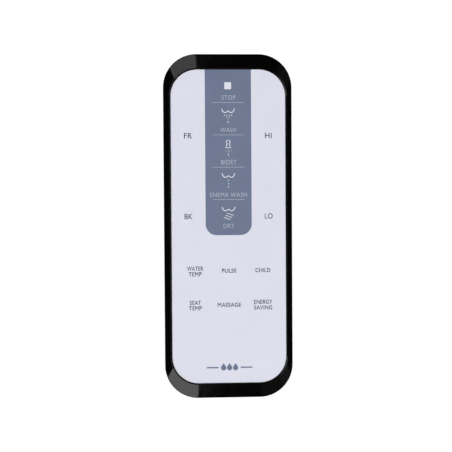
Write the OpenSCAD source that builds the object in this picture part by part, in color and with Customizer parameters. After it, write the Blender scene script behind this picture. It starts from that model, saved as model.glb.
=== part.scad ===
// Wireless hand-held remote control of an electric bidet seat.
// It lies on its back: back face at z = 0, keys up (+Z), infrared end towards +Y.

/* [Body] */
// Width across the case
body_w = 56; // [47:0.5:68]
// Length of the case
body_l = 150; // [125:1:180]
// Radius of the case's corners, seen from above
corner_r = 14.5; // [12:0.5:17.5]
// Width of the sloping rim along the sides
rim_side = 3.2; // [2.6:0.1:4]
// Width of the sloping rim at the two ends
rim_end = 7.1; // [6:0.1:8.5]
// Height that the rim slopes down from the lip to the outer wall
rim_drop = 3.4; // [2.8:0.1:4]
// Width of the level lip around the film
lip_w = 0.65; // [0.4:0.05:1]
// Height of the lip over the film
lip_h = 0.25; // [0.2:0.05:0.35]
// Thickness of the case's walls
wall = 1.6; // [1.3:0.1:1.9]
// Height of the joint between rear and front case
split_z = 9; // [8:0.1:9.8]
// Radius of the rounded edge around the back
back_edge_r = 4; // [3.4:0.1:4.8]

/* [Film] */
// Thickness of the printed film
film_t = 0.25; // [0.2:0.05:0.3]
// Thickness of the adhesive sheet under it
adhesive_t = 0.1; // [0.08:0.01:0.12]
// Thickness of the deck that carries the film
deck_t = 1.2; // [1:0.1:1.5]

/* [Keys] */
// Travel of every key
key_travel = 0.3; // [0.25:0.01:0.35]
// Width of the plain zone on each side of the middle strip
side_zone_w = 14.8; // [12.5:0.1:17.7]
// Margin from the strip's side edge to its keys
strip_key_margin = 0.8; // [0.6:0.1:1.5]
// Gap between neighbouring strip keys
strip_key_gap = 1.15; // [0.9:0.05:2]
// Radius of the round embossed keys
round_key_r = 4; // [3.6:0.1:4.8]
// Radius of the button shape embossed on a round key
dome_r = 3.3; // [2.8:0.1:3.5]
// Radius of its level top
dome_top_r = 2.35; // [2:0.05:2.6]
// Height of that embossing
dome_h = 0.15; // [0.1:0.01:0.2]
// Length of the six keys at the lower end
low_key_l = 9; // [7.5:0.1:10.5]
// Margin from the film's side edge to the lower keys
low_key_margin = 4.1; // [3.4:0.1:4.9]
// Gap between neighbouring lower keys
low_key_gap = 2.7; // [2.3:0.1:3.2]
// Distance from the film's top edge to the first strip key
first_key_y = 7.5; // [7:0.1:9]
// Pitch of the keys down the strip
strip_pitch = 13.95; // [11.65:0.05:15]
// Distance from the last strip key to the first lower row
low_row_gap = 23.9; // [20:0.1:28]
// Pitch of the two lower rows
low_row_pitch = 14.75; // [12.3:0.05:17.7]

/* [Plungers and switches] */
// Diameter of a plunger's shaft
plunger_d = 4.2; // [3.5:0.1:5]
// Diameter of the flange that keeps it under the deck
flange_d = 6; // [5.6:0.1:6.8]
// Thickness of that flange
flange_t = 0.5; // [0.45:0.05:0.6]
// Diameter of the nib that bears on the switch
nib_d = 2.4; // [2:0.1:2.9]
// Height of that nib
nib_h = 0.25; // [0.25:0.05:0.4]
// Side of the square switch housing
switch_w = 5.2; // [4.5:0.1:6.2]
// Height of the switch housing
switch_h = 0.8; // [0.8:0.05:1]
// Diameter of the switch's button
button_d = 2; // [1.7:0.1:2.4]
// Height that it stands out of the housing
button_h = 0.5; // [0.45:0.05:0.6]

/* [Batteries] */
// Diameter of a cell
cell_d = 10.5; // [8.8:0.1:12.6]
// Length of a cell with its terminal
cell_l = 44.5; // [37:0.5:53]
// Diameter of a cell's positive terminal
terminal_d = 3.8; // [3.2:0.1:4.6]
// Height of a cell's positive terminal
terminal_h = 1.2; // [1:0.1:1.4]
// Gap between the two cells
cell_gap = 0.6; // [0.4:0.1:0.8]
// Length of a contact spring with the cell in place
spring_l = 4.7; // [4:0.1:5.6]
// Thickness of the spring's wire
spring_wire = 0.6; // [0.5:0.05:0.7]
// Thickness of the contact plates
contact_t = 0.4; // [0.3:0.05:0.5]
// Distance from the case's lower end to the battery bay
bay_end = 7; // [6:0.1:8.4]

/* [Door] */
// Thickness of the battery door
door_t = 1.6; // [1.5:0.1:1.9]
// Length of the door past the bay's upper end
door_over = 3; // [2.5:0.1:3.6]
// Height of the flap at the door's outer end
flap_h = 5; // [4.6:0.1:6]
// Thickness of that flap
flap_t = 2; // [1.7:0.1:2.4]
// Width of the tongue along each side of the door
tongue_w = 1.3; // [1.1:0.1:1.5]
// Thickness of that tongue
tongue_t = 0.7; // [0.6:0.05:0.75]
// Number of grip grooves
grips = 5; // [3:1:7]

/* [Circuit board] */
// Thickness of the board
board_t = 1; // [0.8:0.1:1.2]
// Diameter of the infrared lamps
led_d = 3; // [2.5:0.1:3.2]
// Width of the infrared window
window_w = 16; // [13.5:0.5:19]
// Height of the infrared window
window_h = 4.6; // [4:0.1:5]

/* [Screws] */
// Thread diameter of the case screws
case_screw_d = 2.5; // [2.2:0.1:2.8]
// Head diameter of the case screws
case_head_d = 4.6; // [4:0.1:5]
// Thread diameter of the board screws
board_screw_d = 2; // [1.8:0.1:2.3]
// Head diameter of the board screws
board_head_d = 3.8; // [3.3:0.1:4.2]

/* [Hidden] */
$fn = 48;
hull_fn = 64;
cut = 1;
sliver = 0.02;
shadow_gap = 0.3;
slide_clear = 0.1;
flex_clear = 0.12;
seat_clear = 0.05;
bury = 0.2;

// Colours
gloss_black = [0.02, 0.02, 0.02];
satin_black = [0.03, 0.03, 0.03];
film_pale = [0.86, 0.86, 0.92];
film_slate = [0.43, 0.48, 0.57];
clear_adhesive = [0.8, 0.8, 0.78];
foam_grey = [0.2, 0.2, 0.2];
acetal = [0.9, 0.9, 0.86];
nylon_black = [0.15, 0.15, 0.15];
board_green = [0.1, 0.35, 0.18];
lamp_violet = [0.25, 0.2, 0.3];
window_dark = [0.08, 0.02, 0.03];
chip_black = [0.1, 0.1, 0.1];
resonator_amber = [0.75, 0.6, 0.2];
capacitor_blue = [0.2, 0.25, 0.45];
cell_copper = [0.7, 0.45, 0.1];
nickel = [0.78, 0.78, 0.75];
screw_black = [0.3, 0.3, 0.32];
screw_steel = [0.6, 0.6, 0.6];

// Heights, built up from the back
foam_room = 0.4;
cell_play = 0.4;
roof_t = 1;
board_gap = 0.2;
bay_floor_z = door_t + foam_room;
cell_z = bay_floor_z + cell_d / 2;
roof_z = bay_floor_z + cell_d + cell_play;
board_z = roof_z + roof_t + board_gap;
board_top_z = board_z + board_t;
button_z = board_top_z + switch_h + button_h;
flange_z = button_z + nib_h;
deck_under_z = flange_z + flange_t + seat_clear;
deck_z = deck_under_z + deck_t;
film_z = deck_z + adhesive_t;
film_top_z = film_z + film_t;
body_t = film_top_z + lip_h;
rim_z = body_t - rim_drop;
lip_edge = 0.3;
shoulder_drop = 0.2;
well_depth = key_travel + slide_clear;

// Film outline
film_w = body_w - 2 * rim_side;
film_l = body_l - 2 * rim_end;
film_corner_r = corner_r - 3;
film_clear = 0.1;
film_top_y = film_l / 2;

// Key places
first_y = film_top_y - first_key_y;
function strip_y(row) = first_y - row * strip_pitch;
strip_key_w = film_w - 2 * side_zone_w - 2 * strip_key_margin;
strip_key_l = strip_pitch - strip_key_gap;
round_x = (film_w - side_zone_w) / 2;
round_upper_y = (strip_y(1) + strip_y(2)) / 2;
round_lower_y = strip_y(4);
low_key_w = (film_w - 2 * low_key_margin - 2 * low_key_gap) / 3;
low_x = low_key_w + low_key_gap;
low_y = strip_y(4) - low_row_gap;
key_corner_r = 2;

// name, centre x, centre y, width, length, corner radius, domed
function strip_key(name, row) = [name, 0, strip_y(row), strip_key_w, strip_key_l, key_corner_r, false];
function round_key(name, x, y) = [name, x, y, 2 * round_key_r, 2 * round_key_r, round_key_r, true];
function low_key(name, col, row) =
    [name, col * low_x, low_y - row * low_row_pitch, low_key_w, low_key_l, key_corner_r, false];
KEYS = [
    strip_key("stop", 0),
    strip_key("wash", 1),
    strip_key("bidet", 2),
    strip_key("enema_wash", 3),
    strip_key("dry", 4),
    round_key("front", -round_x, round_upper_y),
    round_key("back", -round_x, round_lower_y),
    round_key("high", round_x, round_upper_y),
    round_key("low", round_x, round_lower_y),
    low_key("water_temp", -1, 0),
    low_key("pulse", 0, 0),
    low_key("child_lock", 1, 0),
    low_key("seat_temp", -1, 1),
    low_key("massage", 0, 1),
    low_key("energy_saving", 1, 1)
];

// Inside of the case
inner_w = body_w - 2 * wall;
inner_l = body_l - 2 * wall;
inner_r = corner_r - wall;
slope_side = (rim_side - lip_w) / rim_drop;
slope_end = (rim_end - lip_w) / rim_drop;
upper_w = body_w - 2 * (wall + slope_side * (deck_under_z - rim_z));
upper_l = body_l - 2 * (wall + slope_end * (deck_under_z - rim_z));
upper_r = film_corner_r;

// Battery bay, between its two end walls
cell_x = (cell_d + cell_gap) / 2;
cell_side_clear = 0.15;
bay_w = 2 * (cell_x + cell_d / 2 + cell_side_clear);
bay_wall = 1.5;
plate_slot_w = 3.4;
plate_slot_l = 1.2;
bay_low_y = -body_l / 2 + bay_end;
bay_l = cell_l + spring_l + 2 * contact_t;
bay_high_y = bay_low_y + bay_l;

// Door and the slot it slides in
door_edge = 0.8;
door_w = bay_w + 2 * door_edge;
door_low_y = -body_l / 2;
door_high_y = bay_high_y + door_over;
tongue_z = door_t - tongue_t;
slot_w = door_w + 2 * (tongue_w + slide_clear);
rail_t = 1.4;
rail_w = 1.5;
rail_past_door = 2;
foam_w = bay_w - 3;
foam_inset = 12;
lip_wall = 0.8;
back_t = door_t + bury;
catch_w = 8;
catch_l = 0.8;
catch_h = 0.2;
catch_gap = 3.4;
grip_pitch = 1.8;
grip_l = 0.8;
grip_depth = 0.4;
grip_inset = 7;
rib_places = [14, 32, 50];
rib_w = inner_w - 9;
rib_l = 1.2;
rib_h = 3.5;

// Circuit board
board_side_gap = 2.4;
board_past_keys = 5;
board_w = inner_w - 2 * board_side_gap;
board_low_y = low_y - low_row_pitch - low_key_l / 2 - board_past_keys;
neck_w = 28;
boss_d = 7.5;
boss_clear = 0.5;
case_screw_end = 10.5;
case_screw_x = (slot_w + inner_w) / 4;
case_screw_y = body_l / 2 - case_screw_end;
shoulder_y = case_screw_y - boss_d / 2 - 1.2;
board_high_y = case_screw_y + 1;
board_wide_y = max(board_low_y, -shoulder_y);
board_low_w = min(board_w, 2 * (low_x + switch_w / 2 + boss_clear));
board_screw_x = board_w / 2 - 3;
board_screw_end = 4;
board_screws_at = [
    [-board_screw_x, (round_upper_y + round_lower_y) / 2],
    [board_screw_x, (round_upper_y + round_lower_y) / 2],
    [-board_screw_x, board_wide_y + board_screw_end],
    [board_screw_x, board_wide_y + board_screw_end]
];
pilot_bite = 0.3;
board_pilot_d = board_screw_d - pilot_bite;
board_pilot_h = 2.4;
board_head_h = 1.2;
board_screw_l = board_t + 2.2;
board_boss_wall = 0.7;
case_pilot_d = case_screw_d - pilot_bite;
case_pilot_h = 7;
case_head_z = 5;
case_head_h = 1.8;
case_screw_l = split_z - case_head_z + 6;
head_clear = 0.3;
recess_l = 0.66;
recess_depth = 0.8;
case_screws_at = [for (x = [-1, 1], y = [-1, 1]) [x * case_screw_x, y * case_screw_y]];

// Infrared window and lamps
window_z = split_z + 1;
led_z = window_z + window_h / 2;
window_fit = 0.05;
window_sunk = 0.1;
window_flange = 1;
window_flange_h = 0.6;
led_x = 4;
led_body_l = 5.3;
led_rim = 0.4;
led_rim_l = 1;
led_y = board_high_y + 1.4;
lead_w = 0.5;
lead_l = 2.4;
lead_pitch = 1.27;

// Small parts under the board: width, length and height
chip_size = [7.5, 10.3, 1.9];
chip_lead_count = 10;
chip_lead_pitch = 1;
chip_lead_reach = 1.4;
chip_lead_w = 0.4;
chip_lead_t = 0.3;
chip_at_y = round_lower_y + 17;
chip_standoff = 0.2;
resonator_size = [2.4, 6, 3];
resonator_at = [10.5, round_lower_y + 20];
capacitor_d = 5;
capacitor_h = 7;
capacitor_at = [-11, round_lower_y + 26];
resistor_size = [1.6, 0.9, 0.5];
resistor_at = [-13, round_lower_y + 10];
resistor_step = [3, 2.6];
resistor_count = 6;
transistor_size = [2.9, 1.3, 1.1];
transistor_at = [9.5, board_high_y - 6];

// Switches and contacts
button_seat = 0.25;
switch_leg_w = 0.7;
switch_leg_t = 0.2;
switch_floor = 0.15;
contact_w = 8;
terminal_tab_w = 2.6;
nub_root = 0.2;

// A flat plate with round corners, centred on the axis
module plate(w, l, r, h) {
    linear_extrude(h) outline(w, l, r);
}

module outline(w, l, r) {
    if (w > 2 * r) union() {
        square([w - 2 * r, l], center = true);
        square([w, l - 2 * r], center = true);
        for (x = [-1, 1], y = [-1, 1])
            translate([x * (w / 2 - r), y * (l / 2 - r)]) circle(r);
    }
    else circle(r);
}

module at_key(k, z) {
    translate([k[1], k[2], z]) children();
}

module key_shape(k, grow, h) {
    plate(k[3] + 2 * grow, k[4] + 2 * grow, k[5] + grow, h);
}

module box_at(x, y, z, w, l, h) {
    translate([x - w / 2, y, z]) cube([w, l, h]);
}

// Front case: sloping rim, film recess, key wells and screw bosses
module front_shell() {
    hull($fn = hull_fn) {
        translate([0, 0, split_z]) plate(body_w, body_l, corner_r, rim_z - split_z, $fn = hull_fn);
        translate([0, 0, body_t - lip_edge])
            plate(film_w + 2 * lip_w, film_l + 2 * lip_w, film_corner_r + lip_w, lip_edge, $fn = hull_fn);
    }
}

module front_case() {
    color(gloss_black) difference() {
        union() {
            difference() {
                front_shell();
                translate([0, 0, split_z - cut])
                    plate(inner_w, inner_l, inner_r, rim_z - shoulder_drop - split_z + cut);
                translate([0, 0, split_z]) plate(upper_w, upper_l, upper_r, deck_under_z - split_z);
            }
            for (p = case_screws_at) translate([p[0], p[1], split_z + seat_clear])
                cylinder(d = boss_d, h = deck_under_z - split_z + seat_clear);
            for (p = board_screws_at) translate([p[0], p[1], board_top_z])
                cylinder(d = board_head_d + 2 * board_boss_wall, h = deck_under_z - board_top_z + seat_clear);
        }
        translate([0, 0, deck_z]) plate(film_w, film_l, film_corner_r, lip_h + film_t + adhesive_t + cut);
        for (k = KEYS) at_key(k, deck_z - well_depth) key_shape(k, flex_clear, well_depth + cut);
        for (k = KEYS) at_key(k, deck_under_z - cut)
            cylinder(d = plunger_d + 2 * slide_clear, h = deck_t + 2 * cut);
        for (p = case_screws_at) translate([p[0], p[1], split_z - cut])
            cylinder(d = case_pilot_d, h = case_pilot_h + cut);
        for (p = board_screws_at) translate([p[0], p[1], board_top_z - cut])
            cylinder(d = board_pilot_d, h = board_pilot_h + cut);
        box_at(0, body_l / 2 - wall - cut, window_z, window_w, wall + 2 * cut, window_h);
    }
}

// Rear case: rounded back, battery bay, door slot and screw bosses
module rear_shell() {
    side_x = body_w / 2 - corner_r;
    side_y = body_l / 2 - corner_r;
    for (x = [-side_x, side_x], y = [-side_y, side_y])
        translate([x, y, 0]) rotate_extrude($fn = hull_fn) back_section(corner_r);
    rotate([90, 0, 0]) linear_extrude(2 * side_y, center = true) full_section(body_w / 2);
    rotate([90, 0, 90]) linear_extrude(2 * side_x, center = true) full_section(body_l / 2);
}

// Half of the back's section, out to the given half width, with its lower edge rounded
module back_section(half) {
    top = split_z - shadow_gap;
    steps = 6;
    edge = [for (i = [0:steps]) let (a = 90 * i / steps)
        [half - back_edge_r * (1 - sin(a)), back_edge_r * (1 - cos(a))]];
    polygon(concat([[0, 0]], edge, [[half, top], [0, top]]));
}

module full_section(half) {
    back_section(half);
    mirror([1, 0]) back_section(half);
}

module bay_walls() {
    low = bay_low_y - bay_wall;
    rail_low = -body_l / 2 + wall;
    rail_l = door_high_y + rail_past_door - rail_low;
    z = door_t + slide_clear;
    box_at(0, low, z, bay_w + 2 * bay_wall, bay_l + 2 * bay_wall, roof_z + roof_t - z);
    box_at(0, rail_low, z, slot_w + 2 * rail_w, rail_l, rail_t);
}

module bay_space() {
    box_at(0, bay_low_y, -cut, bay_w, bay_l, roof_z + cut);
    for (side = [-1, 1])
        box_at(side * cell_x, bay_high_y - contact_t, roof_z - cut,
            plate_slot_w, plate_slot_l, roof_t + 2 * cut);
}

module door_slot() {
    plate_w = door_w + 2 * slide_clear;
    low = door_low_y - cut;
    slot_l = door_high_y + slide_clear - low;
    box_at(0, low, -cut, plate_w, slot_l, door_t + slide_clear + cut);
    box_at(0, low, tongue_z - slide_clear, slot_w, slot_l, tongue_t + 2 * slide_clear);
    box_at(0, low, -cut, slot_w, flap_t + slide_clear + cut, flap_h + slide_clear + cut);
    box_at(0, low, -cut, foam_w + 1, bay_low_y - low + cut, bay_floor_z + cut);
}

// Lip inside the rear case's rim that the front case fits over
module joint_lip() {
    root_h = 1;
    lip_rise = 0.8;
    lamp_gap = 4;
    in = 2 * (slide_clear + lip_wall);
    out = 2 * slide_clear;
    translate([0, 0, split_z - root_h]) difference() {
        union() {
            plate(inner_w + 2 * bury, inner_l + 2 * bury, inner_r + bury, root_h);
            plate(inner_w - out, inner_l - out, inner_r - out / 2, root_h + lip_rise);
        }
        translate([0, 0, -cut])
            plate(inner_w - in, inner_l - in, inner_r - in / 2, root_h + lip_rise + 2 * cut);
        for (p = case_screws_at) translate([p[0], p[1], root_h])
            cylinder(d = boss_d + 4 * slide_clear, h = lip_rise + cut);
        box_at(0, inner_l / 2 - lamp_gap / 2, root_h, window_w + lamp_gap, lamp_gap, lip_rise + cut);
    }
}

module rear_case() {
    color(satin_black) difference() {
        union() {
            difference() {
                rear_shell();
                translate([0, 0, back_t]) plate(inner_w, inner_l, inner_r, split_z);
            }
            translate([0, 0, split_z - shadow_gap - sliver]) difference() {
                inset = shadow_gap;
                plate(body_w - 2 * inset, body_l - 2 * inset, corner_r - inset, shadow_gap + sliver);
                translate([0, 0, -cut]) plate(inner_w, inner_l, inner_r, shadow_gap + 2 * cut);
            }
            joint_lip();
            bay_walls();
            for (p = case_screws_at) translate([p[0], p[1], door_t])
                cylinder(d = boss_d, h = split_z - door_t);
            for (y = rib_places) box_at(0, bay_high_y + y, door_t, rib_w, rib_l, rib_h);
        }
        bay_space();
        door_slot();
        for (p = case_screws_at) translate([p[0], p[1], -cut]) {
            cylinder(d = case_head_d + 2 * head_clear, h = case_head_z + cut);
            cylinder(d = case_screw_d + head_clear, h = split_z + 2 * cut);
        }
    }
}

// Battery door: plate and end flap cut from the same rounded back, side tongues, grip grooves
module battery_door() {
    color(satin_black) difference() {
        union() {
            intersection() {
                rear_shell();
                union() {
                    box_at(0, door_low_y - cut, -cut, door_w, door_high_y - door_low_y + cut, door_t + cut);
                    box_at(0, door_low_y - cut, -cut, slot_w - 2 * slide_clear, flap_t + cut, flap_h + cut);
                }
            }
            box_at(0, door_low_y + flap_t, tongue_z, slot_w - 2 * slide_clear,
                door_high_y - door_low_y - flap_t, tongue_t);
            box_at(0, bay_low_y - catch_gap, door_t, catch_w, catch_l, catch_h);
        }
        for (i = [0:grips - 1])
            box_at(0, door_high_y - grip_inset - i * grip_pitch, -cut, door_w / 2, grip_l, cut + grip_depth);
    }
}

module door_foam() {
    foam_t = bay_floor_z - door_t - slide_clear;
    color(foam_grey) box_at(0, bay_low_y + foam_inset, door_t, foam_w, bay_l - 2 * foam_inset, foam_t);
}

// Printed film and its adhesive, both with a hole at every key
module film_layer(z, t, grow) {
    translate([0, 0, z]) difference() {
        plate(film_w - 2 * film_clear, film_l - 2 * film_clear, film_corner_r - film_clear, t);
        for (k = KEYS) at_key(k, -cut) key_shape(k, grow, t + 2 * cut);
    }
}

module overlay_film() {
    color(film_pale) film_layer(film_z, film_t, flex_clear);
}

module overlay_adhesive() {
    color(clear_adhesive) film_layer(deck_z, adhesive_t, 2 * flex_clear);
}

// The stretch of film that bends down when its key is pressed
module key_film(k) {
    on_strip = k[1] == 0 && k[2] >= strip_y(4);
    color(on_strip ? film_slate : film_pale) at_key(k, film_z) {
        if (k[6]) embossed_disc();
        else key_shape(k, 0, film_t);
    }
}

module embossed_disc() {
    steps = 6;
    flank = [for (i = [0:steps]) let (f = i / steps)
        [dome_r + (dome_top_r - dome_r) * f, film_t + dome_h * f * f * (3 - 2 * f)]];
    top = [[0, film_t + dome_h]];
    rotate_extrude() polygon(concat([[0, 0], [round_key_r, 0], [round_key_r, film_t]], flank, top));
}

// Plunger under that film, and the button of the switch it bears on
module key_plunger(k) {
    color(acetal) at_key(k, 0) {
        union() {
            translate([0, 0, button_z]) cylinder(d = nib_d, h = nib_h);
            translate([0, 0, flange_z]) cylinder(d = flange_d, h = flange_t);
            translate([0, 0, flange_z]) cylinder(d = plunger_d, h = film_z - flange_z);
        }
        translate([0, 0, board_top_z + switch_h - button_seat])
            cylinder(d = button_d, h = button_h + button_seat);
    }
}

module switch_housings() {
    w = switch_leg_w;
    color(nylon_black) for (k = KEYS) at_key(k, board_top_z) difference() {
        union() {
            translate([-switch_w / 2, -switch_w / 2, 0]) cube([switch_w, switch_w, switch_h]);
            for (x = [-1, 1], y = [-1, 1])
                translate([x * switch_w / 2 - w / 2, y * switch_w / 3 - w / 2, 0]) cube([w, w, switch_leg_t]);
        }
        translate([0, 0, switch_floor]) cylinder(d = button_d + 2 * slide_clear, h = switch_h);
    }
}

// Circuit board with a neck between the upper screw bosses, and narrower where it reaches the lower ones
module circuit_board() {
    color(board_green) translate([0, 0, board_z]) difference() {
        union() {
            box_at(0, board_wide_y, 0, board_w, shoulder_y - board_wide_y, board_t);
            box_at(0, board_low_y, 0, board_low_w, shoulder_y - board_low_y, board_t);
            box_at(0, board_low_y, 0, neck_w, board_high_y - board_low_y, board_t);
        }
        for (p = board_screws_at) translate([p[0], p[1], -cut])
            cylinder(d = board_screw_d + head_clear, h = board_t + 2 * cut);
        for (p = case_screws_at) translate([p[0], p[1], -cut])
            cylinder(d = boss_d + 2 * boss_clear, h = board_t + 2 * cut);
    }
}

// Infrared lamps under the board's end, looking out of the window
module ir_led(x) {
    lens_r = led_d / 2;
    color(lamp_violet) translate([x, led_y, led_z]) rotate([-90, 0, 0]) {
        cylinder(d = led_d + 2 * led_rim, h = led_rim_l);
        cylinder(d = led_d, h = led_body_l - lens_r);
        translate([0, 0, led_body_l - lens_r]) sphere(lens_r);
    }
    color(nickel) for (side = [-1, 1]) {
        lead_x = x + side * lead_pitch / 2;
        box_at(lead_x, led_y - lead_l, led_z - lead_w / 2, lead_w, lead_l, lead_w);
        box_at(lead_x, led_y - lead_l, led_z - lead_w / 2, lead_w, lead_w, board_z - led_z + lead_w / 2);
    }
}

module ir_leds() {
    for (side = [-1, 1]) ir_led(side * led_x);
}

module ir_window() {
    w = window_w - 2 * window_fit;
    h = window_h - 2 * window_fit;
    inner_y = body_l / 2 - wall;
    flange_y = inner_y - window_flange - window_sunk;
    flange_z = window_z - window_flange_h;
    flange_w = window_w + 2 * window_flange;
    color(window_dark) union() {
        box_at(0, inner_y - cut, window_z + window_fit, w, wall + cut - window_sunk, h);
        box_at(0, flange_y, flange_z, flange_w, window_flange, window_h + 2 * window_flange_h);
    }
}

// Parts soldered under the board, above the empty upper half of the case
module controller_chip() {
    under_z = board_z - chip_standoff;
    color(chip_black) union() {
        box_at(0, chip_at_y, under_z - chip_size[2], chip_size[0], chip_size[1], chip_size[2]);
        for (i = [0:chip_lead_count - 1])
            box_at(0, chip_at_y + chip_lead_w + i * chip_lead_pitch, board_z - chip_lead_t,
                chip_size[0] + 2 * chip_lead_reach, chip_lead_w, chip_lead_t);
    }
}

// A box of the given size soldered to the board's underside
module under_board(at, size) {
    box_at(at[0], at[1], board_z - size[2], size[0], size[1], size[2]);
}

module resonator() {
    color(resonator_amber) under_board(resonator_at, resonator_size);
}

module capacitor() {
    color(capacitor_blue) translate([capacitor_at[0], capacitor_at[1], board_z - capacitor_h])
        cylinder(d = capacitor_d, h = capacitor_h);
}

module resistors() {
    color(chip_black) for (i = [0:resistor_count - 1]) {
        step = [(i % 2) * resistor_step[0], floor(i / 2) * resistor_step[1]];
        under_board(resistor_at + step, resistor_size);
    }
}

module lamp_transistor() {
    color(chip_black) under_board(transistor_at, transistor_size);
}

// A cell lies along Y: dir is +1 with its positive end up, -1 with it down
module cell(x, low_y, dir) {
    body_len = cell_l - terminal_h;
    low = dir > 0 ? low_y : low_y + terminal_h;
    nub = dir > 0 ? low_y + body_len - nub_root : low_y;
    color(cell_copper) union() {
        translate([x, low, cell_z]) rotate([-90, 0, 0]) cylinder(d = cell_d, h = body_len);
        translate([x, nub, cell_z]) rotate([-90, 0, 0]) cylinder(d = terminal_d, h = terminal_h + nub_root);
    }
}

module battery_left() {
    cell(-cell_x, bay_high_y - contact_t - cell_l, 1);
}

module battery_right() {
    cell(cell_x, bay_low_y + contact_t, -1);
}

// Conical contact spring: a wire swept along a narrowing helix, dir is the way it narrows along Y
module contact_spring(x, y, dir) {
    turns = 3.5;
    steps = 42;
    sides = 6;
    wide_r = cell_d / 2 - 1.6;
    narrow_r = terminal_d / 2 + spring_wire / 2;
    rise = spring_l - spring_wire - 2 * seat_clear;
    start = spring_wire / 2 + seat_clear;
    function centre(i) = let (f = i / steps, a = 360 * turns * f, r = wide_r + (narrow_r - wide_r) * f)
        [r * cos(a), start + rise * f, r * sin(a)];
    function ring(i) = let (a = 360 * turns * i / steps, c = centre(i)) [
        for (j = [0:sides - 1]) let (b = 360 * j / sides, o = spring_wire / 2 * cos(b))
            [c[0] + o * cos(a), c[1] + spring_wire / 2 * sin(b), c[2] + o * sin(a)]
    ];
    points = [for (i = [0:steps]) each ring(i)];
    walls = [
        for (i = [0:steps - 1], j = [0:sides - 1]) let (n = (j + 1) % sides)
            [i * sides + j, i * sides + n, (i + 1) * sides + n, (i + 1) * sides + j]
    ];
    ends = [
        [for (j = [sides - 1:-1:0]) j],
        [for (j = [0:sides - 1]) steps * sides + j]
    ];
    translate([x, y, cell_z]) mirror([0, dir > 0 ? 0 : 1, 0])
        polyhedron(points = points, faces = concat(ends, walls));
}

module contact_springs() {
    color(nickel) {
        contact_spring(-cell_x, bay_low_y + contact_t, 1);
        contact_spring(cell_x, bay_high_y - contact_t, -1);
    }
}

// Stamped plates at the ends of the bay
module contact_plate(x, y, w) {
    box_at(x, y, cell_z - contact_w / 2, w, contact_t, contact_w);
}

module bridge_contact() {
    color(nickel) contact_plate(0, bay_low_y, 2 * cell_x + contact_w);
}

module board_terminal(x) {
    plate_y = bay_high_y - contact_t;
    color(nickel) union() {
        contact_plate(x, plate_y, contact_w);
        box_at(x, plate_y, cell_z, terminal_tab_w, contact_t, board_z - cell_z);
    }
}

module positive_terminal() {
    board_terminal(-cell_x);
}

module negative_terminal() {
    board_terminal(cell_x);
}

// Screws: head down, thread up
module screw(p, head_z, d, head_d, head_h, length) {
    recess_w = d / 3.5;
    recess = head_d * recess_l;
    translate([p[0], p[1], head_z]) difference() {
        union() {
            translate([0, 0, -head_h]) cylinder(d = head_d, h = head_h);
            cylinder(d = d, h = length);
        }
        for (a = [0, 90]) rotate([0, 0, a])
            translate([-recess / 2, -recess_w / 2, -head_h - cut])
                cube([recess, recess_w, cut + recess_depth]);
    }
}

module case_screws() {
    color(screw_black) for (p = case_screws_at)
        screw(p, case_head_z, case_screw_d, case_head_d, case_head_h, case_screw_l);
}

module board_screws() {
    color(screw_steel) for (p = board_screws_at)
        screw(p, board_z, board_screw_d, board_head_d, board_head_h, board_screw_l);
}

front_case();
rear_case();
battery_door();
door_foam();
overlay_film();
overlay_adhesive();
circuit_board();
switch_housings();
ir_leds();
ir_window();
controller_chip();
resonator();
capacitor();
resistors();
lamp_transistor();
battery_left();
battery_right();
contact_springs();
bridge_contact();
positive_terminal();
negative_terminal();
case_screws();
board_screws();
for (k = KEYS) {
    key_film(k);
    key_plunger(k);
}
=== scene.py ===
"""Looks of the bidet seat's remote control: gloss case, printed film, legends, door and inner parts."""

import math

import bmesh
import bpy
from mathutils import Matrix, Vector


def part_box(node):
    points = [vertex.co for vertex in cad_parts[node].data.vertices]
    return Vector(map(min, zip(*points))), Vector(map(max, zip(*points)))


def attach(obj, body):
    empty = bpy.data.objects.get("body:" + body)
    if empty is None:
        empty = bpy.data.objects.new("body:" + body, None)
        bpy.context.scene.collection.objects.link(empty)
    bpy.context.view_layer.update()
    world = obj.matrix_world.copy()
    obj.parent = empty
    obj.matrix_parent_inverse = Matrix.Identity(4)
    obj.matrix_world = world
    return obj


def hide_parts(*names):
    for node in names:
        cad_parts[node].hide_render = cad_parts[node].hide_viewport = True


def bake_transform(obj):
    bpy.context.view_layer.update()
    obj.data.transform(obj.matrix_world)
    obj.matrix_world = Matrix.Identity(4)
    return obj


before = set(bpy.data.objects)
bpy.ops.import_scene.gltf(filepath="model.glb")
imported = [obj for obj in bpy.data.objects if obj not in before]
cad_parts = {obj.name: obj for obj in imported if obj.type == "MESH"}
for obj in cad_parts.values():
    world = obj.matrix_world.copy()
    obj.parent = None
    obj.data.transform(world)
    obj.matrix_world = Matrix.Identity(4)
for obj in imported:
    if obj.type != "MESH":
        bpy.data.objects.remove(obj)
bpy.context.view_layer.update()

MM = 0.001

# ---------------------------------------------------------------- sizes, in millimetres, from the frame


def node_box(node):
    low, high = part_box(node)
    return low / MM, high / MM


case_low, case_high = node_box("front_case")
film_low, film_high = node_box("overlay_film")

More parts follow.
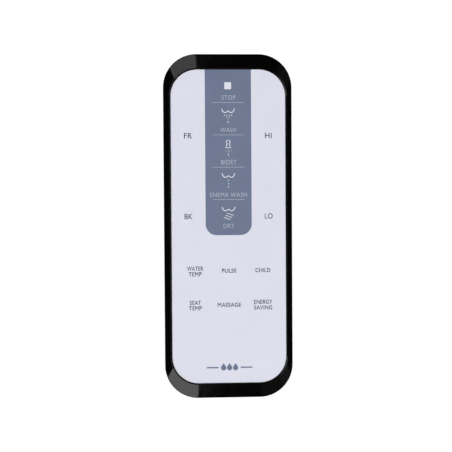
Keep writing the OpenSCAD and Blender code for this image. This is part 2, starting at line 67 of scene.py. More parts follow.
CASE_W = case_high.x - case_low.x
CASE_L = case_high.y - case_low.y
CASE_R = 14.5
WALL = 1.6
SPLIT_Z = case_low.z
TOP_Z = case_high.z
RIM_DROP = 3.4
RIM_Z = TOP_Z - RIM_DROP
FILM_CLEAR = 0.1
ADHESIVE_T = 0.1
FILM_W = film_high.x - film_low.x + 2 * FILM_CLEAR
FILM_L = film_high.y - film_low.y + 2 * FILM_CLEAR
FILM_R = CASE_R - 3
FILM_TOP = film_high.z
FILM_T = film_high.z - film_low.z
DECK_Z = film_low.z - ADHESIVE_T
DECK_T = 1.2
LIP_W = 0.65
WELL_DEPTH = 0.4
WELL_CLEAR = 0.12
PLUNGER_HOLE_D = 4.4
WINDOW_W = 16
WINDOW_H = 4.6
BEYOND = 2
KEY_R = 2.0
FLANK = 0.8
FLANK_STEPS = 6
CROWN = 0.03
DOME_R = 3.3
DOME_TOP_R = 2.35
INK_UP = 0.012
INK_DOWN = 0.02
NUB_H = 1.2
NUB_R = 1.9
ARROW_FROM_END = 24
ARC_STEPS = 16
CASE_STEPS = 28

STRIP_KEYS = ["stop", "wash", "bidet", "enema_wash", "dry"]
ROUND_KEYS = ["front", "back", "high", "low"]
LOW_KEYS = ["water_temp", "pulse", "child_lock", "seat_temp", "massage", "energy_saving"]
KEYS = STRIP_KEYS + ROUND_KEYS + LOW_KEYS


class Key:
    """Place of one key, read from its CAD film."""

    def __init__(self, name):
        low, high = node_box(name + "_key_film")
        self.name = name
        self.body = name + "_key"
        self.x = (low.x + high.x) / 2
        self.y = (low.y + high.y) / 2
        self.w = high.x - low.x
        self.l = high.y - low.y
        self.dome = high.z - FILM_TOP
        self.round = name in ROUND_KEYS
        self.r = self.w / 2 if self.round else KEY_R
        self.on_strip = name in STRIP_KEYS


key = {name: Key(name) for name in KEYS}
STRIP_MARGIN = 0.8
STRIP_END = 8.2
STRIP_W = key["stop"].w + 2 * STRIP_MARGIN
STRIP_TOP = FILM_L / 2
STRIP_LOW = key["dry"].y - STRIP_END
STRIP_R = 4.8

# ---------------------------------------------------------------- material helpers


def new_material(name):
    material = bpy.data.materials.new(name)
    material.use_nodes = True
    nodes, links = material.node_tree.nodes, material.node_tree.links
    shader = nodes["Principled BSDF"]
    where = nodes.new("ShaderNodeTexCoord")
    return material, nodes, links, shader, where.outputs["Object"]


def noise(nodes, links, where, scale, detail=3.0, stretch=(1, 1, 1)):
    """A noise pattern in object coordinates; scale is its cells per metre."""
    mapping = nodes.new("ShaderNodeMapping")
    mapping.inputs["Scale"].default_value = stretch
    texture = nodes.new("ShaderNodeTexNoise")
    texture.inputs["Scale"].default_value = scale
    texture.inputs["Detail"].default_value = detail
    links.new(where, mapping.inputs["Vector"])
    links.new(mapping.outputs["Vector"], texture.inputs["Vector"])
    return texture.outputs["Fac"]


def blend_colour(nodes, links, factor, dark, light):
    ramp = nodes.new("ShaderNodeValToRGB")
    ramp.color_ramp.elements[0].position = 0.3
    ramp.color_ramp.elements[1].position = 0.7
    ramp.color_ramp.elements[0].color = (*dark, 1)
    ramp.color_ramp.elements[1].color = (*light, 1)
    links.new(factor, ramp.inputs["Fac"])
    return ramp.outputs["Color"]


def blend_value(nodes, links, factor, low, high):
    spread = nodes.new("ShaderNodeMapRange")
    spread.inputs["From Min"].default_value = 0.3
    spread.inputs["From Max"].default_value = 0.7
    spread.inputs["To Min"].default_value = low
    spread.inputs["To Max"].default_value = high
    links.new(factor, spread.inputs["Value"])
    return spread.outputs["Result"]


def add_bump(nodes, links, shader, height, distance):
    bump = nodes.new("ShaderNodeBump")
    bump.inputs["Strength"].default_value = 1.0
    bump.inputs["Distance"].default_value = distance
    links.new(height, bump.inputs["Height"])
    links.new(bump.outputs["Normal"], shader.inputs["Normal"])


WEAR_SCALE = 90


def surface(name, colour, spread, roughness, bump_scale, bump_height, metallic=0.0, specular=0.5):
    """A moulded, printed or plated surface: cloudy colour, uneven gloss and a fine grain."""
    material, nodes, links, shader, where = new_material(name)
    clouds = noise(nodes, links, where, WEAR_SCALE, 4)
    dark = tuple(c * (1 - spread) for c in colour)
    light = tuple(min(1, c * (1 + spread)) for c in colour)
    links.new(blend_colour(nodes, links, clouds, dark, light), shader.inputs["Base Color"])
    smears = noise(nodes, links, where, WEAR_SCALE * 4, 5, (1, 0.35, 1))
    links.new(blend_value(nodes, links, smears, *roughness), shader.inputs["Roughness"])
    grain = noise(nodes, links, where, bump_scale, 2)
    add_bump(nodes, links, shader, grain, bump_height)
    shader.inputs["Metallic"].default_value = metallic
    shader.inputs["Specular IOR Level"].default_value = specular
    return material


gloss_black = surface("case_gloss_black", (0.0009, 0.0009, 0.0007), 0.25, (0.06, 0.11), 1400, 0.0000015)
satin_black = surface("case_satin_black", (0.016, 0.016, 0.017), 0.2, (0.42, 0.55), 5200, 0.00002)
film_pale = surface("film_pale", (0.740, 0.740, 0.845), 0.012, (0.36, 0.46), 6500, 0.000003, specular=0.35)
film_slate = surface("film_slate", (0.148, 0.185, 0.280), 0.035, (0.34, 0.44), 6500, 0.000003, specular=0.35)
ink_dark = surface("ink_dark", (0.010, 0.013, 0.060), 0.06, (0.40, 0.50), 9000, 0.000002, specular=0.3)
ink_pale = surface("ink_pale", (0.50, 0.53, 0.62), 0.03, (0.40, 0.50), 9000, 0.000002, specular=0.3)
ink_white = surface("ink_white", (0.76, 0.76, 0.86), 0.02, (0.40, 0.50), 9000, 0.000002, specular=0.3)
window_dark = surface("window_dark", (0.010, 0.002, 0.003), 0.2, (0.05, 0.10), 900, 0.000001)
adhesive = surface("adhesive", (0.60, 0.60, 0.56), 0.05, (0.25, 0.40), 2500, 0.00001)
board_green = surface("board_green", (0.012, 0.075, 0.028), 0.3, (0.25, 0.40), 2200, 0.00002)
nylon_black = surface("switch_black", (0.018, 0.018, 0.018), 0.2, (0.40, 0.55), 4000, 0.00001)
chip_black = surface("chip_black", (0.014, 0.014, 0.015), 0.2, (0.50, 0.65), 7000, 0.00001)
lamp_lens = surface("lamp_lens", (0.060, 0.040, 0.090), 0.2, (0.04, 0.08), 800, 0.000001)
amber = surface("resonator_amber", (0.50, 0.26, 0.04), 0.15, (0.25, 0.40), 2600, 0.00002)
can_metal = surface("capacitor_can", (0.62, 0.62, 0.64), 0.08, (0.25, 0.40), 3000, 0.00001, metallic=1)
nickel = surface("contact_nickel", (0.64, 0.62, 0.58), 0.1, (0.20, 0.36), 3500, 0.000008, metallic=1)
screw_black = surface("screw_black", (0.10, 0.10, 0.11), 0.2, (0.28, 0.42), 5000, 0.00001, metallic=1)
screw_steel = surface("screw_steel", (0.60, 0.60, 0.59), 0.1, (0.25, 0.38), 5000, 0.00001, metallic=1)
acetal = surface("plunger_natural", (0.72, 0.71, 0.64), 0.04, (0.35, 0.50), 3000, 0.00001)
sleeve_dark = surface("cell_sleeve_dark", (0.016, 0.018, 0.024), 0.15, (0.16, 0.26), 1800, 0.000004)
sleeve_copper = surface("cell_sleeve_copper", (0.46, 0.20, 0.06), 0.12, (0.20, 0.30), 1800, 0.000004,
                        metallic=0.6)
foam = surface("foam_grey", (0.055, 0.055, 0.058), 0.35, (0.85, 0.95), 2600, 0.00012)

# ---------------------------------------------------------------- modelling helpers


def deselect():
    bpy.ops.object.select_all(action="DESELECT")


def pick(piece):
    deselect()
    piece.select_set(True)
    bpy.context.view_layer.objects.active = piece


def apply_place(piece):
    pick(piece)
    bpy.ops.object.transform_apply(location=True, rotation=True, scale=True)


def apply_modifier(piece, kind, **settings):
    pick(piece)
    modifier = piece.modifiers.new(kind.lower(), kind)
    for name, value in settings.items():
        setattr(modifier, name, value)
    bpy.ops.object.modifier_apply(modifier=modifier.name)


def edit_select(piece, mode, chosen):
    """Opens the piece for editing with just the vertices, edges or faces that chosen() accepts."""
    pick(piece)
    bpy.ops.object.mode_set(mode="EDIT")
    bpy.ops.mesh.select_mode(type=mode)
    bpy.ops.mesh.select_all(action="DESELECT")
    mesh = bmesh.from_edit_mesh(piece.data)
    parts = {"VERT": mesh.verts, "EDGE": mesh.edges, "FACE": mesh.faces}[mode]
    for part in parts:
        if chosen(part):
            part.select_set(True)
    mesh.select_flush_mode()
    bmesh.update_edit_mesh(piece.data)


def leave_edit():
    bpy.ops.object.mode_set(mode="OBJECT")


def settle(piece, material, body, smooth=30, flat=True):
    """Smooth shading that keeps crisp edges, the material, and the body that the piece rides on."""
    pick(piece)
    bpy.ops.object.shade_smooth_by_angle(angle=math.radians(smooth))
    if flat:
        apply_modifier(piece, "WEIGHTED_NORMAL", keep_sharp=True, weight=100)
    piece.data.materials.clear()
    piece.data.materials.append(material)
    if body:
        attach(piece, body)
    return piece


def upright(edge):
    a, b = edge.verts
    return abs(a.co.z - b.co.z) > 1e-7 and (a.co.xy - b.co.xy).length < 1e-7


def rounded_block(name, x, y, w, l, r, z_low, z_high, steps=ARC_STEPS):
    """A plate with round upright corners; a fully round one is a disc."""
    place = (x * MM, y * MM, (z_low + z_high) / 2 * MM)
    height = (z_high - z_low) * MM
    deselect()
    if w <= 2 * r:
        bpy.ops.mesh.primitive_cylinder_add(vertices=4 * steps, radius=r * MM, depth=height, location=place)
    else:
        bpy.ops.mesh.primitive_cube_add(size=1, location=place)
        bpy.context.object.scale = (w * MM, l * MM, height)
    piece = bpy.context.object
    piece.name = name
    apply_place(piece)
    if w > 2 * r and r > 0:
        edit_select(piece, "EDGE", upright)
        bpy.ops.mesh.bevel(offset=r * MM, segments=steps, profile=0.5, affect="EDGES")
        leave_edit()
    return piece


def join(pieces, name):
    deselect()
    for piece in pieces:
        piece.select_set(True)
    bpy.context.view_layer.objects.active = pieces[0]
    bpy.ops.object.join()
    pieces[0].name = name
    return pieces[0]


def cut_away(piece, cutter, operation="DIFFERENCE"):
    apply_modifier(piece, "BOOLEAN", object=cutter, operation=operation, solver="EXACT", use_self=False)
    bpy.data.objects.remove(cutter)


def outline_ring(w, l, r, z, steps):
    """One closed outline with round corners, as edges only."""
    deselect()
    bpy.ops.mesh.primitive_plane_add(size=1, location=(0, 0, z * MM))
    ring = bpy.context.object
    ring.scale = (w * MM, l * MM, 1)
    apply_place(ring)
    edit_select(ring, "VERT", lambda v: True)
    bpy.ops.mesh.bevel(offset=r * MM, segments=steps, profile=0.5, affect="VERTICES")
    bpy.ops.mesh.select_all(action="SELECT")
    bpy.ops.mesh.delete(type="ONLY_FACE")
    leave_edit()
    return ring


def loft(name, levels, steps):
    """A closed shell over (width, length, corner radius, height) outlines, with both end outlines filled."""
    rings = [outline_ring(*level, steps) for level in levels]
    count = len(rings[0].data.vertices)
    shell = join(rings, name)
    for i in range(len(levels) - 1):
        low, high = i * count, (i + 2) * count
        edit_select(shell, "EDGE", lambda e: all(low <= v.index < high for v in e.verts) and not e.link_faces
                    or all(low <= v.index < low + count for v in e.verts)
                    or all(high - count <= v.index < high for v in e.verts))
        bpy.ops.mesh.bridge_edge_loops()
        leave_edit()
    for first in (0, (len(levels) - 1) * count):
        edit_select(shell, "EDGE", lambda e: all(first <= v.index < first + count for v in e.verts))
        bpy.ops.mesh.edge_face_add()
        leave_edit()
    edit_select(shell, "FACE", lambda f: True)
    bpy.ops.mesh.normals_make_consistent(inside=False)
    leave_edit()
    return shell


def between(a, b, t):
    return tuple(p + (q - p) * t for p, q in zip(a, b))


def rounded_turn(before, corner, after, steps=4):
    """Outlines along a soft edge: a curve from before to after, drawn towards corner."""
    turn = []
    for i in range(steps + 1):
        t = i / steps
        turn.append(between(between(before, corner, t), between(corner, after, t), t))
    return turn


# ---------------------------------------------------------------- front case


def case_levels():
    """Outlines of the front case, from the recess floor over the lip and rim and back up inside."""
    outer = (CASE_W, CASE_L, CASE_R)
    inner = (CASE_W - 2 * WALL, CASE_L - 2 * WALL, CASE_R - WALL)
    recess = (FILM_W, FILM_L, FILM_R)
    lip = (FILM_W + 2 * LIP_W, FILM_L + 2 * LIP_W, FILM_R + LIP_W)
    lip_soft = 0.07
    rim_soft = 0.45
    foot_soft = 0.2
    rim_low = (*outer, RIM_Z)
    rim_high = (*lip, TOP_Z - 0.05)
    shoulder = (CASE_W - 6.0, CASE_L - 9.4, FILM_R)
    levels = [(*recess, DECK_Z)]
    levels += rounded_turn((*recess, TOP_Z - lip_soft), (*recess, TOP_Z),
                           (*inset(recess, -lip_soft), TOP_Z))
    levels += rounded_turn((*inset(lip, lip_soft), TOP_Z), (*lip, TOP_Z), between(rim_high, rim_low, 0.07))
    levels += rounded_turn(between(rim_high, rim_low, 0.88), rim_low, (*outer, RIM_Z - rim_soft), 6)
    levels += rounded_turn((*outer, SPLIT_Z + foot_soft), (*outer, SPLIT_Z),
                           (*inset(outer, foot_soft), SPLIT_Z), 3)
    levels += [(*inner, SPLIT_Z + 0.15), (*inner, RIM_Z - 0.5)]
    levels += [(*shoulder, RIM_Z - 0.2), (*shoulder, DECK_Z - DECK_T)]
    return levels


def inset(outline, by):
    """The outline (width, length, corner radius) moved inwards."""
    w, l, r = outline
    return w - 2 * by, l - 2 * by, r - by


def front_case():
    shell = loft("front_case_shell", case_levels(), CASE_STEPS)
    wells = [rounded_block("well", k.x, k.y, k.w + 2 * WELL_CLEAR, k.l + 2 * WELL_CLEAR, k.r + WELL_CLEAR,
                           DECK_Z - WELL_DEPTH, TOP_Z + BEYOND, 8) for k in key.values()]
    holes = [rounded_block("hole", k.x, k.y, PLUNGER_HOLE_D, PLUNGER_HOLE_D, PLUNGER_HOLE_D / 2,
                           DECK_Z - BEYOND, DECK_Z + BEYOND, 8) for k in key.values()]
    window_low, window_high = node_box("ir_window")
    middle = (window_low.z + window_high.z) / 2
    slot = rounded_block("slot", 0, CASE_L / 2, WINDOW_W, 4 * BEYOND, 0,
                         middle - WINDOW_H / 2, middle + WINDOW_H / 2)
    cut_away(shell, join(wells, "wells"))
    cut_away(shell, join(holes + [slot], "holes"))
    settle(shell, gloss_black, "case")
    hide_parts("front_case")


# ---------------------------------------------------------------- printed film


def key_cutters(names):
    keys = [key[name] for name in names]
    low, high = FILM_TOP - BEYOND, FILM_TOP + BEYOND
    return [rounded_block("cutter", k.x, k.y, k.w, k.l, k.r, low, high) for k in keys]


def strip_block(name, grow, z_low, z_high):
    """The strip's outline: square at the film's top edge, round at its lower corners."""
    middle = (STRIP_TOP + STRIP_LOW) / 2
    piece = rounded_block(name, 0, middle, STRIP_W, STRIP_TOP - STRIP_LOW, 0, z_low, z_high)
    edit_select(piece, "EDGE", lambda e: upright(e) and e.verts[0].co.y < 0)
    bpy.ops.mesh.bevel(offset=STRIP_R * MM, segments=ARC_STEPS, profile=0.5, affect="EDGES")
    leave_edit()
    if grow:
        edit_select(piece, "VERT", lambda v: v.co.y > (STRIP_TOP - 1) * MM)
        bpy.ops.transform.translate(value=(0, grow * MM, 0))
        leave_edit()
    return piece


def film_sheets():
    bottom = FILM_TOP - FILM_T
    field = rounded_block("film_field", 0, 0, FILM_W, FILM_L, FILM_R, bottom, FILM_TOP, CASE_STEPS)
    cut_away(field, strip_block("strip_cutter", BEYOND, FILM_TOP - BEYOND, FILM_TOP + BEYOND))
    cut_away(field, join(key_cutters(ROUND_KEYS + LOW_KEYS), "cutters"))
    settle(field, film_pale, "case", flat=False)
    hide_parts("overlay_film")
    strip = strip_block("film_strip", 0, bottom, FILM_TOP)
    cut_away(strip, join(key_cutters(STRIP_KEYS), "cutters"))
    settle(strip, film_slate, "case", flat=False)


def film_patch(k):
    """The stretch of film over one key: raised a little inside its edge."""
    bottom = FILM_TOP - FILM_T - 0.05
    patch = rounded_block(k.name + "_film_patch", k.x, k.y, k.w, k.l, k.r, bottom, FILM_TOP)
    rise = k.dome if k.round else CROWN
    flank = DOME_R - DOME_TOP_R if k.round else FLANK
    steps = [(k.r - DOME_R, 0)] if k.round else []
    for i in range(1, FLANK_STEPS + 1):
        f = i / FLANK_STEPS
        steps.append((flank / FLANK_STEPS, rise * f * f * (3 - 2 * f)))
    edit_select(patch, "FACE", lambda face: face.normal.z > 0.9)
    reached = 0
    for inwards, height in steps:
        bpy.ops.mesh.inset(thickness=inwards * MM, depth=0)
        bpy.ops.transform.translate(value=(0, 0, (height - reached) * MM))
        reached = height
    leave_edit()
    settle(patch, film_slate if k.on_strip else film_pale, None, flat=False)
    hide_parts(k.name + "_key_film")
    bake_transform(patch)


# ---------------------------------------------------------------- printing on the film


def ink_level(k):
    """Height of the film's face where this key's printing lies."""
    if not k:
        return FILM_TOP
    return FILM_TOP + (k.dome if k.round else CROWN)


def finish_ink(piece, ink, k):
    settle(piece, ink, k.body if k else "case", flat=False)


def legend(words, x, y_low, cap, width, ink, k, name, thin=0.0, bold=0.0):
    """Plain lettering, cap millimetres high and width wide, centred on x; thin and bold set its strokes."""
    deselect()
    bpy.ops.object.text_add()
    piece = bpy.context.object
    piece.data.body = words
    piece.data.align_x = "CENTER"
    piece.data.resolution_u = 6
    piece.data.extrude = 0.01
    piece.data.offset = -thin
    piece.data.space_character = 1.08
    bpy.ops.object.convert(target="MESH")
    piece = bpy.context.object
    piece.name = name
    edit_select(piece, "FACE", lambda f: True)
    bpy.ops.mesh.remove_doubles(threshold=1e-6)
    if bold:
        bpy.ops.transform.shrink_fatten(value=bold)
    leave_edit()
    xs = [v.co.x for v in piece.data.vertices]
    ys = [v.co.y for v in piece.data.vertices]
    level = ink_level(k)
    grow_x = width / (max(xs) - min(xs))
    grow_y = cap / (max(ys) - min(ys))
    for v in piece.data.vertices:
        v.co.x = (x + (v.co.x - (max(xs) + min(xs)) / 2) * grow_x) * MM
        v.co.y = (y_low + (v.co.y - min(ys)) * grow_y) * MM
        v.co.z = (level + (INK_UP if v.co.z > 0 else -INK_DOWN)) * MM
    finish_ink(piece, ink, k)


def bar(name, x, y, w, h, k, r=0.0):
    """A printed bar, square or dot."""
    level = ink_level(k)
    return rounded_block(name, x, y, w, h, r, level - INK_DOWN, level + INK_UP, 6)


def filled(name, outline, k=None):
    """A printed patch with the given outline."""
    curve = bpy.data.curves.new(name, "CURVE")
    curve.dimensions = "2D"
    curve.fill_mode = "BOTH"
    spline = curve.splines.new("POLY")
    spline.points.add(len(outline) - 1)
    for point, (x, y) in zip(spline.points, outline):
        point.co = (x * MM, y * MM, 0, 1)
    spline.use_cyclic_u = True
    curve.extrude = (INK_UP + INK_DOWN) / 2 * MM
    piece = bpy.data.objects.new(name, curve)
    bpy.context.collection.objects.link(piece)
    pick(piece)
    bpy.ops.object.convert(target="MESH")
    piece = bpy.context.object
    level = ink_level(k) + (INK_UP - INK_DOWN) / 2
    piece.data.transform(Matrix.Translation((0, 0, level * MM)))
    edit_select(piece, "FACE", lambda f: True)
    bpy.ops.mesh.remove_doubles(threshold=1e-7)
    bpy.ops.mesh.normals_make_consistent(inside=False)
    leave_edit()
    return piece


def stroke(name, points, thick, k):
    """A printed line of even width along points, with round ends."""
    return filled(name, stroke_outline(points, thick / 2), k)


def stroke_outline(points, half):
    """The outline of a line of even width: one side, a round end, the other side, a round end."""
    path = [Vector(p) for p in points]
    sides = ([], [])
    for i, p in enumerate(path):
        along = path[min(i + 1, len(path) - 1)] - path[max(i - 1, 0)]
        across = Vector((-along.y, along.x)).normalized() * half
        sides[0].append(p + across)
        sides[1].append(p - across)
    outline = list(sides[0])
    outline += half_turn(path[-1], sides[0][-1] - path[-1])
    outline += list(reversed(sides[1]))
    outline += half_turn(path[0], sides[1][0] - path[0])
    return [(p.x, p.y) for p in outline]


def half_turn(centre, arm, steps=5):
    return [centre + Matrix.Rotation(-math.pi * i / steps, 2) @ arm for i in range(1, steps)]


def arc(cx, cy, r, start, end, steps=10):
    """Points on a circle from angle start to end, in degrees."""
    turn = [math.radians(start + (end - start) * i / steps) for i in range(steps + 1)]
    return [(cx + r * math.cos(a), cy + r * math.sin(a)) for a in turn]


def seat_line(name, x, y, k, rise=1.5):
    """The double curve of the wash and dry symbols; y is its lowest line."""
    half = [(2.72, rise), (2.6, rise * 0.66), (2.3, rise * 0.36), (1.9, rise * 0.11), (1.45, 0.0)]
    half += [(1.05, 0.03), (0.72, 0.17), (0.42, 0.42), (0, 0.68)]
    left = [(-px, py) for px, py in half]
    points = [(x + px, y + py) for px, py in left + half[-2::-1]]
    return stroke(name, points, 0.37, k)


def dots(name, places, size, k):
    return [bar(name, x, y, size, size, k, r=size / 2 - 0.001) for x, y in places]


def symbols():
    k = key["stop"]
    finish_ink(bar("stop_symbol", -0.08, k.y + 0.55, 2.95, 3.05, k, r=0.4), ink_white, k)
    k = key["wash"]
    parts = [seat_line("wash_symbol", 0, 49.4, k)]
    parts += dots("dot", [(-1.55, 48.2), (-0.62, 48.2), (0.62, 48.2), (1.55, 48.2)], 0.42, k)
    parts += dots("dot", [(-0.55, 47.35), (0.55, 47.35), (0, 46.6)], 0.34, k)
    parts += [bar("stem", 0, 45.3, 0.36, 0.8, k)]
    finish_ink(join(parts, "wash_symbol"), ink_white, k)
    k = key["bidet"]
    head = arc(0, 36.66, 0.8, -90, 90, 14)
    parts = [stroke("head", head, 0.36, k), stroke("head", [(-px, py) for px, py in head], 0.36, k)]
    skirt = [(-0.5, 35.85), (-0.68, 35.2), (-1.22, 34.25), (1.22, 34.25), (0.68, 35.2), (0.5, 35.85)]
    parts += [stroke("skirt", skirt, 0.36, k)]
    parts += dots("dot", [(-1.05, 33.05), (0.05, 33.0), (1.3, 33.05)], 0.28, k)
    parts += dots("dot", [(-0.45, 32.6), (0.5, 32.6)], 0.24, k)
    parts += [bar("stem", 0, 31.25, 0.24, 1.2, k)]
    finish_ink(join(parts, "bidet_symbol"), ink_white, k)
    k = key["enema_wash"]
    parts = [seat_line("enema_symbol", 0, 21.45, k, 1.65)]
    parts += [bar("stem", 0, y, 0.28, 0.6, k) for y in (20.1, 18.65, 17.2)]
    finish_ink(join(parts, "enema_wash_symbol"), ink_white, k)
    k = key["dry"]
    parts = [seat_line("dry_symbol", 0, 6.95, k, 1.5)]
    for row in range(3):
        x, y = 0.75 - 0.7 * row, 5.47 - 0.94 * row
        along = [i / 5 - 1 for i in range(11)]
        wave = [(x + 1.4 * f, y - 0.26 * f - 0.2 * math.sin(math.pi * f)) for f in along]
        parts.append(stroke("wave", wave, 0.26, k))
    finish_ink(join(parts, "dry_symbol"), ink_white, k)


def separators():
    lines = []
    for above, below in zip(STRIP_KEYS[:-1], STRIP_KEYS[1:]):
        y = (key[above].y + key[below].y) / 2 + 0.27
        lines.append(bar("line", 0.05, y, 13.7, 0.15, None))
    finish_ink(join(lines, "strip_lines"), ink_pale, None)


def legends():
    for words, name, x, y_low, cap, width in (
            ("STOP", "stop", 0.25, 55.0, 1.8, 5.9), ("WASH", "wash", 0.05, 41.0, 1.8, 6.7),
            ("BIDET", "bidet", 0.25, 27.05, 1.85, 6.6), ("ENEMA WASH", "enema_wash", 0.02, 13.0, 1.8, 15.9),
            ("DRY", "dry", 0.1, -0.45, 1.75, 4.65)):
        legend(words, x, y_low, cap, width, ink_pale, key[name], name + "_legend", thin=0.010)
    for words, name, cap, width in (("FR", "front", 2.35, 3.35), ("BK", "back", 2.35, 3.45),
                                    ("HI", "high", 2.35, 2.9), ("LO", "low", 2.35, 3.45)):
        k = key[name]
        legend(words, k.x, k.y - cap / 2, cap, width, ink_dark, k, name + "_legend", bold=0.014)
    for name, x, lines in (
            ("water_temp", 0, (("WATER", 1.3, 7.1), ("TEMP", -1.15, 5.6))),
            ("pulse", 0.1, (("PULSE", 0.28, 6.3),)),
            ("child_lock", 0.05, (("CHILD", 0.38, 6.5),)),
            ("seat_temp", 0, (("SEAT", 1.2, 4.9), ("TEMP", -1.2, 5.6))),
            ("massage", 0.1, (("MASSAGE", 0.17, 10.2),)),
            ("energy_saving", 0.1, (("ENERGY", 1.3, 7.9), ("SAVING", -1.15, 7.9)))):
        k = key[name]
        for i, (words, up, width) in enumerate(lines):
            label = f"{name}_legend_{i + 1}"
            legend(words, k.x + x, k.y + up - 0.92, 1.85, width, ink_dark, k, label, bold=0.026)


def drop_motif():
    """Three plain water drops between two bars, printed at the film's lower end."""
    y, high, wide = -60.9, 3.2, 1.15
    parts = []
    for x in (-2.6, 0, 2.6):
        outline = [(x, y + high / 2)] + arc(x, y - high / 2 + wide, wide, 25, -205, 16)
        parts.append(filled("drop", outline))
    for side in (-1, 1):
        parts.append(bar("bar", side * 7.4, y - 0.3, 5.2, 0.6, None, r=0.2))
    finish_ink(join(parts, "drop_motif"), film_slate, None)


# ---------------------------------------------------------------- rear case, door and inner parts


def door_arrow():
    """The engraved arrow that shows which way the door slides off."""
    low, high = node_box("battery_door")
    deselect()
    bpy.ops.mesh.primitive_cylinder_add(vertices=3, radius=3 * MM, depth=0.5 * MM)
    arrow = bpy.context.object
    arrow.rotation_euler = (0, 0, math.pi)
    arrow.location = (0, (high.y - ARROW_FROM_END) * MM, 0)
    apply_place(arrow)
    return arrow


def moulded_copy(node, name, material, body, mark=None):
    """A CAD moulding with its facets merged, its mark cut in and its sharp edges softened."""
    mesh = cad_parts[node].data.copy()
    piece = bpy.data.objects.new(name, mesh)
    bpy.context.collection.objects.link(piece)
    edit_select(piece, "FACE", lambda f: True)
    bpy.ops.mesh.remove_doubles(threshold=1e-6)
    bpy.ops.mesh.dissolve_limited(angle_limit=math.radians(0.5))
    leave_edit()
    if mark:
        cut_away(piece, mark)
    apply_modifier(piece, "BEVEL", width=0.00012, segments=2, limit_method="ANGLE",
                   angle_limit=math.radians(35), harden_normals=False)
    settle(piece, material, body, smooth=32)
    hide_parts(node)


def cell(node, side):
    """A cell in its printed sleeve, with bare metal ends; side is the Y direction of its positive end."""
    low, high = node_box(node)
    x, z, radius = (low.x + high.x) / 2, (low.z + high.z) / 2, (high.x - low.x) / 2
    length = high.y - low.y - NUB_H
    middle = (low.y + high.y) / 2 - side * NUB_H / 2
    sleeve_t = 0.15
    bare_end = 0.7
    nub_root = 0.5
    metal = [turned("can", (x, middle, z), radius - sleeve_t, length, 0.6)]
    nub_y = middle + side * (length + NUB_H - nub_root) / 2
    metal += [turned("nub", (x, nub_y, z), NUB_R, NUB_H + nub_root, 0.3)]
    can = settle(fused(metal, node + "_can"), can_metal, "case")
    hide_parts(node)
    wrapped = length - bare_end
    band_l = length * 0.24
    plain_l = wrapped - band_l
    for name, material, long, at in (("band", sleeve_copper, band_l, (wrapped - band_l) / 2),
                                     ("sleeve", sleeve_dark, plain_l, (plain_l - wrapped) / 2)):
        wrap = turned(f"{node}_{name}", (x, middle + side * at, z), radius, long, 0.12)
        hole = turned("hole", (x, middle + side * at, z), radius - 2 * sleeve_t, long + BEYOND, 0)
        cut_away(wrap, hole)
        settle(wrap, material, "case")


def turned(name, place, radius, length, soft):
    """A round bar along Y with softened ends."""
    deselect()
    bpy.ops.mesh.primitive_cylinder_add(vertices=64, radius=radius * MM, depth=length * MM)
    piece = bpy.context.object
    piece.name = name
    piece.rotation_euler = (math.pi / 2, 0, 0)
    piece.location = Vector(place) * MM
    apply_place(piece)
    if soft:
        apply_modifier(piece, "BEVEL", width=soft * MM, segments=3, limit_method="ANGLE",
                       angle_limit=math.radians(60))
    return piece


def fused(pieces, name):
    """One closed piece from several that overlap."""
    for other in pieces[1:]:
        cut_away(pieces[0], other, "UNION")
    pieces[0].name = name
    return pieces[0]


def dress_nodes():
    """Materials of the CAD parts that show as they are."""
    dress = {
        "overlay_adhesive": adhesive, "circuit_board": board_green, "switch_housings": nylon_black,
        "ir_leds": lamp_lens, "ir_window": window_dark, "controller_chip": chip_black, "resonator": amber,
        "capacitor": can_metal, "resistors": chip_black, "lamp_transistor": chip_black,
        "contact_springs": nickel,
        "bridge_contact": nickel, "positive_terminal": nickel, "negative_terminal": nickel,
        "case_screws": screw_black, "board_screws": screw_steel, "door_foam": foam,
    }
    for name in KEYS:
        dress[name + "_key_plunger"] = acetal
    for node, material in dress.items():
        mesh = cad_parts[node].data
        mesh.materials.clear()
        mesh.materials.append(material)


# ---------------------------------------------------------------- floor, lights and camera


def glowing_white(name, base, strength):
    """A white surface that shines evenly, so that the studio reads as plain and pale."""
    material, nodes, links, shader, where = new_material(name)
    shader.inputs["Base Color"].default_value = (base, base, base, 1)
    shader.inputs["Roughness"].default_value = 0.9
    shader.inputs["Specular IOR Level"].default_value = 0
    shader.inputs["Emission Color"].default_value = (1, 1, 1, 1)
    shader.inputs["Emission Strength"].default_value = strength
    return material


def stage():
    """The floor just under the back, a backdrop that lights nothing, and a dim room."""
    deselect()
    bpy.ops.mesh.primitive_plane_add(size=6, location=(0, 0, -0.1 * MM))
    floor = bpy.context.object
    floor.name = "studio_floor"
    floor.data.materials.append(glowing_white("floor_white", 0.10, 0.955))
    floor.visible_glossy = False
    deselect()
    bpy.ops.mesh.primitive_uv_sphere_add(segments=48, ring_count=24, radius=2.9)
    backdrop = bpy.context.object
    backdrop.name = "studio_backdrop"
    backdrop.data.materials.append(glowing_white("backdrop_white", 0, 0.97))
    for ray in ("visible_diffuse", "visible_glossy", "visible_transmission", "visible_shadow"):
        setattr(backdrop, ray, False)
    world = bpy.data.worlds.new("studio")
    world.use_nodes = True
    world.node_tree.nodes["Background"].inputs["Color"].default_value = (0.012, 0.012, 0.012, 1)
    bpy.context.scene.world = world


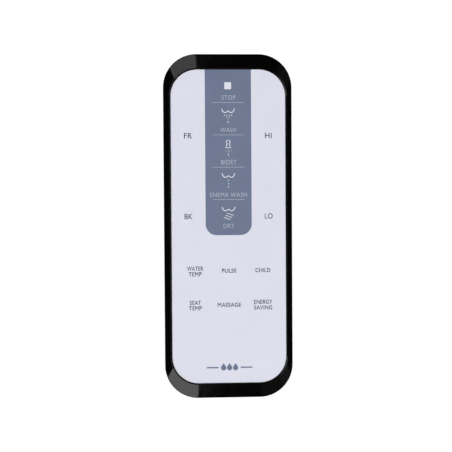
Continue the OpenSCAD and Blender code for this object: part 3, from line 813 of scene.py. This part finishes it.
def soft_box(name, azimuth, elevation, distance, width, height, power):
    """A soft light that faces the object; azimuth 0 is +X and 90 is +Y."""
    a, e = math.radians(azimuth), math.radians(elevation)
    place = Vector((math.cos(a) * math.cos(e), math.sin(a) * math.cos(e), math.sin(e))) * distance
    light = bpy.data.lights.new(name, "AREA")
    light.shape = "RECTANGLE"
    light.size = width
    light.size_y = height
    light.energy = power
    lamp = bpy.data.objects.new(name, light)
    lamp.location = place
    lamp.rotation_euler = place.to_track_quat("Z", "Y").to_euler()
    bpy.context.collection.objects.link(lamp)


def lights():
    soft_box("left_box", 180, 57, 1.0, 1.2, 0.4, 5.97)
    soft_box("right_box", 0, 57, 1.0, 1.2, 0.4, 5.86)
    soft_box("overhead_panel", 180, 86, 1.0, 0.8, 0.35, 0.16)
    soft_box("right_wall", 0, 14, 0.9, 2.0, 0.6, 0.23)
    soft_box("lower_right_wall", 306, 15, 0.9, 0.9, 0.5, 0.10)
    soft_box("upper_left_wall", 113, 20, 0.7, 0.52, 0.44, 0.80)
    soft_box("lower_left_wall", 241, 18, 0.7, 0.70, 0.44, 1.9)


CAMERA_DISTANCE = 0.45


def camera():
    """Looks down on the keypad, from a little to the left and towards the infrared end."""
    lean_left, lean_up, roll = (math.radians(a) for a in (3.236, 1.681, 0.3586))
    target = Vector((-1.088, 0.320, 17.0)) * MM
    away = Vector((-math.sin(lean_left), math.sin(lean_up), 1)).normalized()
    right = (-away).cross(Vector((math.sin(roll), math.cos(roll), 0))).normalized()
    up = right.cross(-away)
    data = bpy.data.cameras.new("camera")
    data.sensor_width = 36
    data.lens = 82.389
    data.clip_start = 0.01
    seen = bpy.data.objects.new("camera", data)
    turn = Matrix((right, up, away)).transposed().to_4x4()
    seen.matrix_world = Matrix.Translation(target + away * CAMERA_DISTANCE) @ turn
    bpy.context.collection.objects.link(seen)
    bpy.context.scene.camera = seen


bpy.context.scene.view_settings.view_transform = "Standard"
camera()
lights()
stage()
front_case()
film_sheets()
for name in KEYS:
    film_patch(key[name])
symbols()
separators()
legends()
drop_motif()
moulded_copy("rear_case", "rear_case_shell", satin_black, "case")
moulded_copy("battery_door", "battery_door_shell", satin_black, "door", door_arrow())
cell("battery_left", 1)
cell("battery_right", -1)
dress_nodes()
